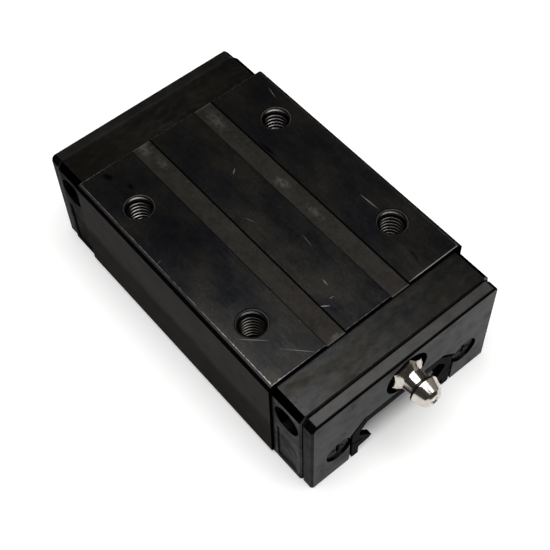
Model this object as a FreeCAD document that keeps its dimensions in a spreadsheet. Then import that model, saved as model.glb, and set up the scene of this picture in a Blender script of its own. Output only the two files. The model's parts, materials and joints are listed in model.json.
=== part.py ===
"""Low-profile linear guide block: a ball carriage of size 25 with four recirculating ball circuits.

Millimetres. The origin is the centre of the four tapped holes on the top mounting face (z = 0).
+X runs along the rail towards the grease nipple, +Y to the right of that end, +Z up.
"""
import FreeCAD
import Part
import Sketcher
import math
import os

# Driving dimensions, in millimetres and degrees
SIZES = {
    # Steel carriage
    "carriage_length": 60.0,
    "carriage_width": 48.0,
    "carriage_height": 26.0,
    "top_edge_chamfer": 0.8,
    "foot_edge_chamfer": 1.0,
    "end_edge_break": 0.25,
    "land_half_width": 5.8,
    "relief_width": 4.3,
    "relief_depth": 0.35,
    # Tapped mounting holes
    "bolt_pitch_along": 35.0,
    "bolt_side_inset": 6.5,
    "thread_diameter": 6.0,
    "thread_bore_gap": 1.93,
    "thread_mouth_diameter": 6.6,
    "thread_mouth_angle": 90.0,
    "drill_point_angle": 118.0,
    # Rail that the carriage runs on, which sets the way through it
    "rail_side_reach": 12.5,
    "rail_top_rise": 11.0,
    "ceiling_gap": 0.8,
    "wall_gap": 0.9,
    "leg_gap": 0.6,
    "ledge_reach": 0.55,
    "ledge_top_sink": 0.4,
    "ledge_lip": 0.15,
    "ledge_slope": 0.7,
    # Ball circuits
    "ball_diameter": 3.969,
    "ball_spacing_gap": 0.03,
    "turn_ball_gap": 0.131,
    "channel_gap": 0.085,
    "upper_row_inset": 0.6,
    "upper_row_sink": 0.1,
    "upper_circuit_tilt": 13.4,
    "lower_row_inset": 1.05,
    "lower_row_sink": 5.9,
    "lower_circuit_tilt": 9.8,
    "guide_thickness": 4.4,
    "guide_rim_drop": 0.9,
    "guide_gap": 0.05,
    "retainer_rail_gap": 0.3,
    "retainer_ball_gap": 0.1,
    # Bottom seals
    "bottom_seal_reach": 3.1,
    "bottom_seal_height": 1.3,
    "bottom_lip_gap": 0.15,
    "bottom_lip_thickness": 0.5,
    # End caps
    "cap_thickness": 8.0,
    "cap_side_step": 0.6,
    "cap_top_drop": 1.0,
    "cap_foot_lift": 0.1,
    "cap_shoulder": 1.3,
    "cap_way_bevel": 2.4,
    "seam_bevel": 0.35,
    "side_port_diameter": 6.6,
    "side_port_drop": 5.8,
    "side_port_depth": 4.0,
    "panel_width": 5.5,
    "panel_port_gap": 2.5,
    "panel_foot_gap": 1.1,
    "panel_depth": 0.3,
    # End seals
    "seal_thickness": 2.8,
    "seal_side_step": 0.3,
    "seal_top_step": 0.2,
    "seal_face_bevel": 0.45,
    "seal_side_bevel": 0.4,
    "lip_thickness": 1.3,
    "lip_rail_gap": 0.1,
    "lip_crown_inset": 2.2,
    "lip_nose_inset": 0.3,
    "lip_nose_top": 2.1,
    "lip_nose_bottom": 3.4,
    "lip_neck_inset": 3.6,
    "lip_neck_drop": 7.4,
    "lip_heel_inset": 3.0,
    "lip_heel_drop": 7.9,
    "lip_foot_inset": 0.2,
    "lip_foot_drop": 8.3,
    "slit_width": 0.62,
    "slit_depth": 0.8,
    "slit_crown_rise": 2.1,
    "slit_crown_inset": 1.5,
    "slit_leg_outset": 1.8,
    "slit_leg_drop": 0.8,
    "slit_mouth_width": 0.9,
    "slit_mouth_height": 1.4,
    "spur_root_drop": 5.1,
    "spur_tip_inset": 0.9,
    "spur_tip_drop": 6.0,
    "spur_width": 0.75,
    "nipple_hole_diameter": 10.2,
    # Screws through the end seal and the end cap
    "screw_side_inset": 7.6,
    "screw_drop": 2.7,
    "screw_diameter": 2.5,
    "screw_length": 16.0,
    "screw_gap": 0.05,
    "screw_head_diameter": 5.2,
    "screw_head_height": 1.6,
    "screw_recess_diameter": 6.0,
    "screw_recess_depth": 2.1,
    "driver_slot_length": 3.1,
    "driver_slot_width": 0.8,
    "driver_slot_depth": 1.0,
    # Grease nipple, its check ball and spring, and the plug in the other port
    "port_diameter": 6.0,
    "port_depth": 6.5,
    "port_gap": 0.1,
    "shank_length": 5.5,
    "hex_across_flats": 7.0,
    "hex_height": 3.2,
    "hex_corner_bevel": 0.7,
    "hex_turn": 52.0,
    "neck_root_diameter": 6.6,
    "neck_diameter": 5.0,
    "neck_flare_length": 0.5,
    "neck_length": 3.1,
    "waist_diameter": 4.7,
    "head_diameter": 6.5,
    "head_flare_length": 0.55,
    "head_band_length": 0.6,
    "head_cone_length": 2.0,
    "head_cone_diameter": 4.6,
    "tip_round_length": 0.7,
    "tip_diameter": 3.0,
    "orifice_diameter": 1.7,
    "orifice_length": 0.6,
    "chamber_diameter": 2.3,
    "chamber_length": 4.6,
    "grease_bore_diameter": 1.2,
    "check_ball_diameter": 2.0,
    "check_ball_gap": 0.02,
    "spring_wire_diameter": 0.2,
    "spring_pitch": 0.45,
    "spring_wall_gap": 0.12,
    "plug_length": 5.0,
    "plug_sink": 0.4,
    "plug_socket_across_flats": 3.0,
    "plug_socket_depth": 2.4,
}
TURN_ANGLES = (30.0, 90.0, 150.0)
TINY = 1e-9


class Size:
    """A dimension: its value now, and the expression that the document keeps it by."""

    def __init__(self, value, text):
        self.value = value
        self.text = text

    def __add__(self, other):
        other = size(other)
        return Size(self.value + other.value, f"({self.text} + {other.text})")

    def __radd__(self, other):
        return size(other) + self

    def __sub__(self, other):
        other = size(other)
        return Size(self.value - other.value, f"({self.text} - {other.text})")

    def __rsub__(self, other):
        return size(other) - self

    def __mul__(self, factor):
        factor = size(factor)
        return Size(self.value * factor.value, f"({self.text} * {factor.text})")

    def __rmul__(self, factor):
        return self * factor

    def __truediv__(self, divisor):
        divisor = size(divisor)
        return Size(self.value / divisor.value, f"({self.text} / {divisor.text})")

    def __neg__(self):
        return self * -1


def size(value):
    """A plain number as a Size; a Size stays as it is."""
    return value if isinstance(value, Size) else Size(float(value), f"({float(value)!r})")


def cosine(angle):
    """Cosine of an angle in degrees."""
    angle = size(angle)
    return Size(math.cos(math.radians(angle.value)), f"cos({angle.text})")


def sine(angle):
    """Sine of an angle in degrees."""
    angle = size(angle)
    return Size(math.sin(math.radians(angle.value)), f"sin({angle.text})")


def root(square):
    """Square root."""
    return Size(math.sqrt(square.value), f"sqrt({square.text})")


doc = FreeCAD.newDocument("linear_guide_block")
sheet = doc.addObject("Spreadsheet::Sheet", "Sizes")
for row, (alias, number) in enumerate(SIZES.items(), start=1):
    sheet.set(f"A{row}", alias)
    sheet.set(f"B{row}", str(number))
    sheet.setAlias(f"B{row}", alias)
doc.recompute()


def named(alias):
    """The driving dimension of that name."""
    return Size(SIZES[alias], f"Sizes.{alias}")


def bind(feature, **sizes):
    """Tie properties of a feature to dimensions."""
    for name, amount in sizes.items():
        feature.setExpression(name, size(amount).text)


def place(feature, x=0.0, y=0.0, z=0.0, turn="rotation(vector(0; 0; 1); 0)"):
    """Tie the placement of a feature to dimensions and a turn."""
    point = "; ".join(size(amount).text for amount in (x, y, z))
    feature.setExpression("Placement", f"placement(vector({point}); {turn})")


def new_body(label):
    """An empty body."""
    body = doc.addObject("PartDesign::Body", label)
    body.Label = label
    return body


def new_sketch(body, name, plane, offset=0.0):
    """A sketch on an origin plane of its body, moved along the plane's normal."""
    sketch = body.newObject("Sketcher::SketchObject", f"{body.Label}_{name}")
    support = [item for item in body.Origin.OriginFeatures if item.Role == f"{plane}_Plane"]
    sketch.AttachmentSupport = [(support[0], "")]
    sketch.MapMode = "FlatFace"
    sketch.setExpression("AttachmentOffset.Base.z", size(offset).text)
    return sketch


def pin(sketch, geometry, end, across, up):
    """Hold one point of a sketch at dimensions from the sketch's origin."""
    for kind, axis, amount in (("DistanceX", -2, size(across)), ("DistanceY", -1, size(up))):
        if abs(amount.value) < TINY:
            sketch.addConstraint(Sketcher.Constraint("PointOnObject", geometry, end, axis))
            continue
        index = sketch.addConstraint(Sketcher.Constraint(kind, -1, 1, geometry, end, amount.value))
        sketch.setExpression(f"Constraints[{index}]", amount.text)


def outline(sketch, points):
    """Closed outline of straight edges through points, each a pair of dimensions."""
    points = [(size(across), size(up)) for across, up in points]
    corners = [FreeCAD.Vector(across.value, up.value, 0) for across, up in points]
    first = sketch.GeometryCount
    count = len(points)
    for index in range(count):
        segment = Part.LineSegment(corners[index], corners[(index + 1) % count])
        sketch.addGeometry(segment, False)
    for index in range(count):
        following = first + (index + 1) % count
        sketch.addConstraint(Sketcher.Constraint("Coincident", first + index, 2, following, 1))
    for index, (across, up) in enumerate(points):
        pin(sketch, first + index, 1, across, up)


def circle(sketch, across, up, diameter):
    """Circle at dimensions from the sketch's origin."""
    across, up, diameter = size(across), size(up), size(diameter)
    centre = FreeCAD.Vector(across.value, up.value, 0)
    index = sketch.addGeometry(Part.Circle(centre, FreeCAD.Vector(0, 0, 1), diameter.value / 2), False)
    pin(sketch, index, 3, across, up)
    constraint = sketch.addConstraint(Sketcher.Constraint("Diameter", index, diameter.value))
    sketch.setExpression(f"Constraints[{constraint}]", diameter.text)


def both_sides(points):
    """Outline of one side, from the middle outwards, followed by its mirror image."""
    mirrored = [(-size(across), up) for across, up in reversed(points)]
    return list(points) + mirrored


def pad(body, sketch, length, symmetric=False):
    """Solid of a sketch along its normal."""
    feature = body.newObject("PartDesign::Pad", f"{sketch.Name}_pad")
    feature.Profile = sketch
    bind(feature, Length=length)
    if symmetric:
        feature.SideType = "Symmetric"
    doc.recompute()
    return feature


def pocket(body, sketch, depth, symmetric=False, along_normal=False):
    """Cut of a sketch, against its normal unless along_normal or symmetric; it has to remove metal."""
    before = body.Shape.Volume
    feature = body.newObject("PartDesign::Pocket", f"{sketch.Name}_pocket")
    feature.Profile = sketch
    bind(feature, Length=depth)
    if symmetric:
        feature.SideType = "Symmetric"
    feature.Reversed = along_normal
    doc.recompute()
    if body.Shape.Volume > before - TINY:
        raise RuntimeError(f"{feature.Name} cuts nothing")
    return feature


def mirror_in_body(body, name, features):
    """Repeat features of a body on the other side of its XZ plane."""
    plane = [item for item in body.Origin.OriginFeatures if item.Role == "XZ_Plane"]
    mirrored = body.newObject("PartDesign::Mirrored", f"{body.Label}_{name}")
    mirrored.Originals = features
    mirrored.MirrorPlane = (plane[0], [""])
    body.Tip = mirrored
    doc.recompute()
    return mirrored


def bevel(body, name, amount, chosen):
    """Chamfer on the straight edges of a body whose two ends are both chosen."""
    base = body.Tip
    names = []
    for index, edge in enumerate(base.Shape.Edges, start=1):
        ends = [vertex.Point for vertex in edge.Vertexes]
        if len(ends) == 2 and all(chosen(end) for end in ends):
            names.append(f"Edge{index}")
    if not names:
        raise RuntimeError(f"{name} finds no edge")
    feature = body.newObject("PartDesign::Chamfer", f"{body.Label}_{name}")
    feature.Base = (base, names)
    bind(feature, Size=amount)
    body.Tip = feature
    doc.recompute()
    return feature


def near(value, amount):
    """Whether a coordinate is that dimension."""
    return abs(value - size(amount).value) < 1e-4


def part_feature(kind, label, **sizes):
    """Part primitive with its sizes tied to dimensions."""
    feature = doc.addObject(f"Part::{kind}", label)
    feature.Label = label
    bind(feature, **sizes)
    return feature


def cut(label, base, tool):
    """Part boolean: base less tool."""
    feature = doc.addObject("Part::Cut", label)
    feature.Label = label
    feature.Base = base
    feature.Tool = tool
    return feature


def group(kind, label, members):
    """Part compound or fusion of several features."""
    feature = doc.addObject(f"Part::{kind}", label)
    feature.Label = label
    if kind == "Compound":
        feature.Links = members
    else:
        feature.Shapes = members
    return feature


def mirror_image(label, source, normal):
    """Mirror image of a finished piece through the origin."""
    feature = doc.addObject("Part::Mirroring", label)
    feature.Label = label
    feature.Source = source
    feature.Normal = normal
    return feature


ALONG = FreeCAD.Vector(1, 0, 0)
ACROSS = FreeCAD.Vector(0, 1, 0)
ALONG_X = "rotation(vector(0; 1; 0); 90)"

# Levels and half widths that several pieces share
half_length = named("carriage_length") / 2
half_width = named("carriage_width") / 2
floor_level = -named("carriage_height")
rail_half = half_width - named("rail_side_reach")
rail_top = floor_level + named("rail_top_rise")
ceiling = rail_top + named("ceiling_gap")
way_half = rail_half + named("wall_gap")
leg_half = rail_half + named("leg_gap")
cap_face = half_length + named("cap_thickness")
seal_face = cap_face + named("seal_thickness")
cap_half = half_width - named("cap_side_step")
cap_top = -named("cap_top_drop")
foot_level = floor_level + named("cap_foot_lift")
port_level = rail_top / 2
screw_across = half_width - named("screw_side_inset")
screw_level = rail_top - named("screw_drop")
screw_hole = named("screw_diameter") + 2 * named("screw_gap")

# Ball circuits: rows, turns and the channels round them
ball_radius = named("ball_diameter") / 2
channel_diameter = named("ball_diameter") + 2 * named("channel_gap")
turn_radius = named("ball_diameter") + named("turn_ball_gap")
guide_radius = turn_radius - named("guide_rim_drop")
balls_per_row = int(SIZES["carriage_length"] / (SIZES["ball_diameter"] + SIZES["ball_spacing_gap"]))
ball_pitch = named("carriage_length") / balls_per_row


class Circuit:
    """One ball circuit: its loaded row, its return row and the plane of its turns."""

    def __init__(self, side, tier, inset, sink, tilt):
        self.name = f"{side}_{tier}"
        sign = SIDES[side]
        self.loaded = (sign * (rail_half - inset), rail_top - sink)
        self.reach = (sign * cosine(tilt), sine(tilt))
        self.axis = (sine(tilt), -sign * cosine(tilt))
        self.middle = self.at(1.0)
        self.back = self.at(2.0)
        level_turn = "rotation(vector(1; 1; 0); 180)" if sign > 0 else "rotation(vector(0; 0; 1); -90)"
        self.turn = f"rotation(vector(1; 0; 0); {(sign * tilt).text}) * {level_turn}"

    def at(self, radii):
        """Point of the line from the loaded row to the return row, in turn radii."""
        return tuple(start + turn_radius * step * radii for start, step in zip(self.loaded, self.reach))


def circuits_of(side):
    """Upper and lower ball circuit of one side."""
    upper_tilt, lower_tilt = named("upper_circuit_tilt"), -named("lower_circuit_tilt")
    upper = Circuit(side, "upper", named("upper_row_inset"), named("upper_row_sink"), upper_tilt)
    lower = Circuit(side, "lower", named("lower_row_inset"), named("lower_row_sink"), lower_tilt)
    return upper, lower


SIDES = {"right": 1, "left": -1}
UPPER, LOWER = circuits_of("right")
CIRCUITS = (UPPER, LOWER, *circuits_of("left"))


def make_carriage():
    """Hardened steel carriage: lands, legs, raceways, return bores and tapped holes."""
    body = new_body("carriage")
    chamfer = named("top_edge_chamfer")
    foot = named("foot_edge_chamfer")
    relief_in = named("land_half_width")
    relief_out = relief_in + named("relief_width")
    relief_floor = -named("relief_depth")
    rebate_out = leg_half + named("bottom_seal_reach")
    rebate_top = floor_level + named("bottom_seal_height")
    ledge_half = LOWER.loaded[0] + named("ledge_reach")
    ledge_top = LOWER.loaded[1] - named("ledge_top_sink")
    ledge_foot = LOWER.loaded[1] - channel_diameter / 2 - named("ledge_lip")
    right = [
        (relief_in, 0), (relief_in, relief_floor), (relief_out, relief_floor), (relief_out, 0),
        (half_width - chamfer, 0), (half_width, -chamfer),
        (half_width, floor_level + foot), (half_width - foot, floor_level),
        (rebate_out, floor_level), (rebate_out, rebate_top), (leg_half, rebate_top),
        (leg_half, ledge_foot - named("ledge_slope")), (ledge_half, ledge_foot),
        (ledge_half, ledge_top), (way_half, ledge_top), (way_half, ceiling),
    ]
    section = new_sketch(body, "section", "YZ")
    outline(section, both_sides(right))
    pad(body, section, named("carriage_length"), symmetric=True)

    bores = new_sketch(body, "ball_channels", "YZ")
    for circuit in CIRCUITS:
        for across, up in (circuit.loaded, circuit.back):
            circle(bores, across, up, channel_diameter)
    pocket(body, bores, named("carriage_length"), symmetric=True)

    screw_depth = named("screw_length") - named("cap_thickness")
    for end, sign in (("front", 1), ("rear", -1)):
        taps = new_sketch(body, f"{end}_screw_holes", "YZ", sign * half_length)
        for side in (1, -1):
            circle(taps, side * screw_across, screw_level, screw_hole)
        pocket(body, taps, screw_depth, along_normal=sign < 0)

    bolt_across = half_width - named("bolt_side_inset")
    holes = new_sketch(body, "mounting_holes", "XY")
    for along in (-1, 1):
        for across in (-1, 1):
            x = along * named("bolt_pitch_along") / 2
            circle(holes, x, across * bolt_across, named("thread_diameter"))
    doc.recompute()
    drilled = body.newObject("PartDesign::Hole", "carriage_taps")
    drilled.Profile = holes
    doc.recompute()
    drilled.DepthType = "Dimension"
    drilled.DrillPoint = "Angled"
    drilled.HoleCutType = "Countersink"
    mouth_slope = named("thread_mouth_angle") / 2
    mouth_step = (named("thread_mouth_diameter") - named("thread_diameter")) / 2
    bore_top = UPPER.back[1] + channel_diameter / 2
    bind(
        drilled,
        Diameter=named("thread_diameter"),
        Depth=-bore_top - named("thread_bore_gap"),
        DrillPointAngle=named("drill_point_angle"),
        HoleCutDiameter=named("thread_mouth_diameter"),
        HoleCutCountersinkAngle=named("thread_mouth_angle"),
        HoleCutDepth=mouth_step * cosine(mouth_slope) / sine(mouth_slope),
    )
    body.Tip = drilled
    doc.recompute()
    bevel(body, "end_edges", named("end_edge_break"),
          lambda end: near(end.z, 0) and near(abs(end.x), half_length))
    return body


def make_end_cap(label):
    """Moulded end cap at the +X end: turn pockets, grease port, side ports and bare panels."""
    body = new_body(label)
    shoulder = named("cap_shoulder")
    way_bevel = named("cap_way_bevel")
    right = [
        (cap_half - shoulder, cap_top), (cap_half, cap_top - shoulder), (cap_half, foot_level),
        (leg_half, foot_level), (leg_half, ceiling - way_bevel), (leg_half - way_bevel, ceiling),
    ]
    section = new_sketch(body, "section", "YZ", half_length)
    outline(section, both_sides(right))
    pad(body, section, named("cap_thickness"))
    bevel(body, "seam", named("seam_bevel"),
          lambda end: near(end.x, cap_face) and abs(end.y) > (cap_half - shoulder).value - TINY)

    ports = new_sketch(body, "grease_port", "YZ", cap_face)
    circle(ports, 0, port_level, named("port_diameter"))
    pocket(body, ports, named("port_depth"))
    screws = new_sketch(body, "screw_holes", "YZ", cap_face)
    for side in (1, -1):
        circle(screws, side * screw_across, screw_level, screw_hole)
    pocket(body, screws, named("cap_thickness"))

    side_port = new_sketch(body, "side_port", "XZ", -cap_half)
    middle = half_length + named("cap_thickness") / 2
    port_centre = cap_top - named("side_port_drop")
    circle(side_port, middle, port_centre, named("side_port_diameter"))
    port_cut = pocket(body, side_port, named("side_port_depth"), along_normal=True)
    panel = new_sketch(body, "panel", "XZ", -cap_half)
    left, right_edge = middle - named("panel_width") / 2, middle + named("panel_width") / 2
    top = port_centre - named("side_port_diameter") / 2 - named("panel_port_gap")
    bottom = foot_level + named("panel_foot_gap")
    outline(panel, [(left, top), (right_edge, top), (right_edge, bottom), (left, bottom)])
    panel_cut = pocket(body, panel, named("panel_depth"), along_normal=True)

    mirror_in_body(body, "other_side", [port_cut, panel_cut])
    for circuit in CIRCUITS:
        tube = body.newObject("PartDesign::SubtractiveTorus", f"{label}_{circuit.name}_turn")
        tube.Angle3 = 180
        bind(tube, Radius1=turn_radius, Radius2=channel_diameter / 2)
        place(tube, half_length, *circuit.middle, turn=circuit.turn)
        seat = body.newObject("PartDesign::SubtractiveCylinder", f"{label}_{circuit.name}_guide_seat")
        seat.Angle = 180
        depth = named("guide_thickness") + 2 * named("guide_gap")
        bind(seat, Radius=guide_radius, Height=depth)
        place_across(seat, circuit, depth)
    doc.recompute()
    return body


def place_across(feature, circuit, thickness):
    """Centre a half cylinder of that thickness on the plane of a turn."""
    across, up = (centre - along * thickness / 2 for centre, along in zip(circuit.middle, circuit.axis))
    place(feature, half_length, across, up, turn=circuit.turn)


def make_return_guide(circuit):
    """Half-round return guide: the inner wall of one turn at the +X end."""
    label = f"front_{circuit.name}_return_guide"
    thickness = named("guide_thickness")
    blank = part_feature("Cylinder", f"{label}_blank", Radius=guide_radius, Height=thickness)
    blank.Angle = 180
    place_across(blank, circuit, thickness)
    tube = part_feature("Torus", f"{label}_groove", Radius1=turn_radius, Radius2=channel_diameter / 2)
    place(tube, half_length, *circuit.middle, turn=circuit.turn)
    return cut(label, blank, tube)


def make_retainer():
    """Strip between the two loaded rows of the right leg that keeps the balls in their raceways."""
    body = new_body("right_ball_retainer")
    inner = rail_half + named("retainer_rail_gap")
    top, bottom = UPPER.loaded[1], LOWER.loaded[1]
    section = new_sketch(body, "section", "YZ")
    outline(section, [(inner, top), (way_half, top), (way_half, bottom), (inner, bottom)])
    pad(body, section, named("carriage_length"), symmetric=True)
    hollows = new_sketch(body, "ball_hollows", "YZ")
    for circuit in (UPPER, LOWER):
        circle(hollows, *circuit.loaded, named("ball_diameter") + 2 * named("retainer_ball_gap"))
    pocket(body, hollows, named("carriage_length"), symmetric=True)
    return body


def make_bottom_seal():
    """Seal strip under the right leg, with a thin lip towards the rail."""
    body = new_body("right_bottom_seal")
    outer = leg_half + named("bottom_seal_reach")
    top = floor_level + named("bottom_seal_height")
    lip = rail_half + named("bottom_lip_gap")
    section = new_sketch(body, "section", "YZ")
    outline(section, [
        (outer, floor_level), (outer, top), (leg_half, top),
        (lip, floor_level + named("bottom_lip_thickness")), (lip, floor_level),
    ])
    pad(body, section, named("carriage_length"), symmetric=True)
    return body


def make_end_seal(label):
    """End seal at the +X end: plate, slits and the lip that wipes the rail."""
    body = new_body(label)
    half = cap_half - named("seal_side_step")
    top = cap_top - named("seal_top_step")
    shoulder = named("cap_shoulder")
    slit_half = rail_half + named("slit_leg_outset")
    mouth = named("slit_mouth_width") / 2
    crown = rail_top + named("lip_rail_gap")
    right = [
        (half - shoulder, top), (half, top - shoulder), (half, foot_level),
        (slit_half + mouth, foot_level), (slit_half, foot_level + named("slit_mouth_height")),
        (slit_half - mouth, foot_level), (rail_half - named("lip_foot_inset"), foot_level),
        (rail_half - named("lip_foot_inset"), rail_top - named("lip_foot_drop")),
        (rail_half - named("lip_heel_inset"), rail_top - named("lip_heel_drop")),
        (rail_half - named("lip_neck_inset"), rail_top - named("lip_neck_drop")),
        (rail_half - named("lip_nose_inset"), rail_top - named("lip_nose_bottom")),
        (rail_half - named("lip_nose_inset"), rail_top - named("lip_nose_top")),
        (rail_half - named("lip_crown_inset"), crown),
    ]
    section = new_sketch(body, "section", "YZ", cap_face)
    outline(section, both_sides(right))
    pad(body, section, named("seal_thickness"))
    bevel(body, "face_edge", named("seal_face_bevel"),
          lambda end: near(end.x, seal_face) and near(end.z, top))
    bevel(body, "side_edges", named("seal_side_bevel"),
          lambda end: near(end.x, seal_face) and near(abs(end.y), half))
    bevel(body, "seam", named("seam_bevel"),
          lambda end: near(end.x, cap_face) and abs(end.y) > (half - shoulder).value - TINY)

    slit_outer = slit_half + named("slit_width") / 2
    slit_inner = slit_half - named("slit_width") / 2
    crown_level = rail_top + named("slit_crown_rise")
    slit_top = crown_level + named("slit_width") / 2
    slit_under = crown_level - named("slit_width") / 2
    leg_level = rail_top - named("slit_leg_drop")
    slit_foot = foot_level + named("slit_mouth_height") / 2
    crown_half = rail_half - named("slit_crown_inset")
    hollow = new_sketch(body, "lip_hollow", "YZ", cap_face)
    outline(hollow, both_sides([
        (slit_inner, foot_level - slit_outer), (slit_inner, leg_level), (crown_half, slit_under),
    ]))
    pocket(body, hollow, named("seal_thickness") - named("lip_thickness"), along_normal=True)

    slit = new_sketch(body, "slit", "YZ", seal_face)
    slant = named("slit_width") / 4
    inner_edge = [(crown_half - slant, slit_under), (slit_inner, leg_level - slant), (slit_inner, slit_foot)]
    outer_edge = [(slit_outer, slit_foot), (slit_outer, leg_level + slant), (crown_half + slant, slit_top)]
    outline(slit, both_sides(inner_edge)[3:] + both_sides(inner_edge)[:3] + both_sides(outer_edge))
    pocket(body, slit, named("slit_depth"))
    spur = new_sketch(body, "spur_slit", "YZ", seal_face)
    half_spur = named("spur_width") / 2
    root_level, tip_level = rail_top - named("spur_root_drop"), rail_top - named("spur_tip_drop")
    spur_tip = rail_half - named("spur_tip_inset")
    outline(spur, [
        (slit_half, root_level + half_spur), (spur_tip, tip_level + half_spur),
        (spur_tip, tip_level - half_spur), (slit_half, root_level - half_spur),
    ])
    spur_cut = pocket(body, spur, named("slit_depth"))
    mirror_in_body(body, "other_spur", [spur_cut])

    for name, diameter, depth in (
        ("screw_recesses", named("screw_recess_diameter"), named("screw_recess_depth")),
        ("screw_holes", screw_hole, named("seal_thickness")),
    ):
        rounds = new_sketch(body, name, "YZ", seal_face)
        for side in (1, -1):
            circle(rounds, side * screw_across, screw_level, diameter)
        pocket(body, rounds, depth)
    nipple_hole = new_sketch(body, "nipple_hole", "YZ", seal_face)
    circle(nipple_hole, 0, port_level, named("nipple_hole_diameter"))
    pocket(body, nipple_hole, named("seal_thickness"))
    return body


def make_screw(label, across):
    """Cross-recess screw that holds the end seal and the end cap on the +X end of the carriage."""
    seat = seal_face - named("screw_recess_depth")
    radius = named("screw_diameter") / 2
    shank = part_feature("Cylinder", f"{label}_shank", Radius=radius, Height=named("screw_length"))
    place(shank, seat - named("screw_length"), across, screw_level, turn=ALONG_X)
    head = part_feature(
        "Cylinder", f"{label}_head",
        Radius=named("screw_head_diameter") / 2, Height=named("screw_head_height"),
    )
    place(head, seat, across, screw_level, turn=ALONG_X)
    blank = group("MultiFuse", f"{label}_blank", [shank, head])
    slots = []
    long, wide = named("driver_slot_length"), named("driver_slot_width")
    for name, width, height in (("level", long, wide), ("upright", wide, long)):
        slot = part_feature(
            "Box", f"{label}_{name}_slot", Length=named("driver_slot_depth"), Width=width, Height=height,
        )
        bottom = seat + named("screw_head_height") - named("driver_slot_depth")
        place(slot, bottom, across - width / 2, screw_level - height / 2)
        slots.append(slot)
    return cut(label, blank, group("MultiFuse", f"{label}_cross", slots))


def make_nipple():
    """Straight grease nipple screwed into the port of the front end cap."""
    body = new_body("grease_nipple")
    place(body, cap_face, 0, port_level)
    shank = named("port_diameter") / 2 - named("port_gap")
    neck_start = named("hex_height")
    neck_flared = neck_start + named("neck_flare_length")
    neck_end = neck_start + named("neck_length")
    flare_end = neck_end + named("head_flare_length")
    band_end = flare_end + named("head_band_length")
    cone_end = band_end + named("head_cone_length")
    tip = cone_end + named("tip_round_length")
    profile = new_sketch(body, "profile", "XZ")
    outline(profile, [
        (-named("shank_length"), 0), (-named("shank_length"), shank), (0, shank),
        (neck_start, named("neck_root_diameter") / 2), (neck_flared, named("neck_diameter") / 2),
        (neck_end, named("waist_diameter") / 2), (flare_end, named("head_diameter") / 2),
        (band_end, named("head_diameter") / 2), (cone_end, named("head_cone_diameter") / 2),
        (tip, named("tip_diameter") / 2), (tip, 0),
    ])
    turned = body.newObject("PartDesign::Revolution", "grease_nipple_turned")
    turned.Profile = profile
    turned.ReferenceAxis = (profile, ["H_Axis"])
    turned.Angle = 360
    hexagon = body.newObject("PartDesign::AdditivePrism", "grease_nipple_hexagon")
    hexagon.Polygon = 6
    corner = named("hex_across_flats") / 2 / cosine(30)
    bind(hexagon, Circumradius=corner, Height=named("hex_height"))
    place(hexagon, turn=f"rotation(vector(1; 0; 0); {named('hex_turn').text}) * {ALONG_X}")
    doc.recompute()
    flat = named("hex_across_flats") / 2
    groove(body, "hex_corners", [
        (neck_start, flat), (neck_start, corner * 2), (neck_start - named("hex_corner_bevel"), corner * 2),
        (neck_start - named("hex_corner_bevel"), corner),
    ])
    seat = tip - named("orifice_length")
    chamber_end = seat - named("chamber_length")
    bore, chamber = named("grease_bore_diameter") / 2, named("chamber_diameter") / 2
    orifice = named("orifice_diameter") / 2
    groove(body, "bore", [
        (-named("shank_length"), 0), (-named("shank_length"), bore), (chamber_end, bore),
        (chamber_end, chamber), (seat, chamber), (seat, orifice), (tip, orifice), (tip, 0),
    ])
    return body, seat, chamber_end


def groove(body, name, points):
    """Cut of an outline turned round the X axis of a body; it has to remove metal."""
    before = body.Shape.Volume
    sketch = new_sketch(body, name, "XZ")
    outline(sketch, points)
    feature = body.newObject("PartDesign::Groove", f"{body.Label}_{name}_groove")
    feature.Profile = sketch
    feature.ReferenceAxis = (sketch, ["H_Axis"])
    feature.Angle = 360
    doc.recompute()
    if body.Shape.Volume > before - TINY:
        raise RuntimeError(f"{feature.Name} cuts nothing")


def make_check_ball(seat):
    """Ball that closes the tip of the nipple, just clear of its seat."""
    radius = named("check_ball_diameter") / 2
    orifice = named("orifice_diameter") / 2
    centre = cap_face + seat - root(radius * radius - orifice * orifice) - named("check_ball_gap")
    ball = part_feature("Sphere", "nipple_check_ball", Radius=radius)
    place(ball, centre, 0, port_level)
    return ball, centre - radius


def make_spring(start, end):
    """Coil spring behind the check ball."""
    wire = named("spring_wire_diameter")
    coil = named("chamber_diameter") / 2 - named("spring_wall_gap") - wire / 2
    helix = part_feature(
        "Helix", "nipple_spring_path", Pitch=named("spring_pitch"), Height=end - start - 2 * wire, Radius=coil,
    )
    section = part_feature("RegularPolygon", "nipple_spring_section", Circumradius=wire / 2)
    section.Polygon = 8
    place(section, coil, turn="rotation(vector(1; 0; 0); 90)")
    doc.recompute()
    spring = doc.addObject("Part::Sweep", "nipple_spring")
    spring.Label = "nipple_spring"
    spring.Sections = [section]
    spring.Spine = (helix, ["Edge1"])
    spring.Solid = True
    spring.Frenet = True
    place(spring, start + wire, 0, port_level, turn=ALONG_X)
    return spring


def make_plug():
    """Socket plug in the unused grease port of the rear end cap."""
    radius = named("port_diameter") / 2 - named("port_gap")
    start = -cap_face + named("plug_sink")
    blank = part_feature("Cylinder", "grease_port_plug_blank", Radius=radius, Height=named("plug_length"))
    place(blank, start, 0, port_level, turn=ALONG_X)
    socket = doc.addObject("Part::Prism", "grease_port_plug_socket")
    socket.Polygon = 6
    corner = named("plug_socket_across_flats") / 2 / cosine(30)
    bind(socket, Circumradius=corner, Height=named("plug_socket_depth"))
    place(socket, start, 0, port_level, turn=ALONG_X)
    return cut("grease_port_plug", blank, socket)


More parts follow.
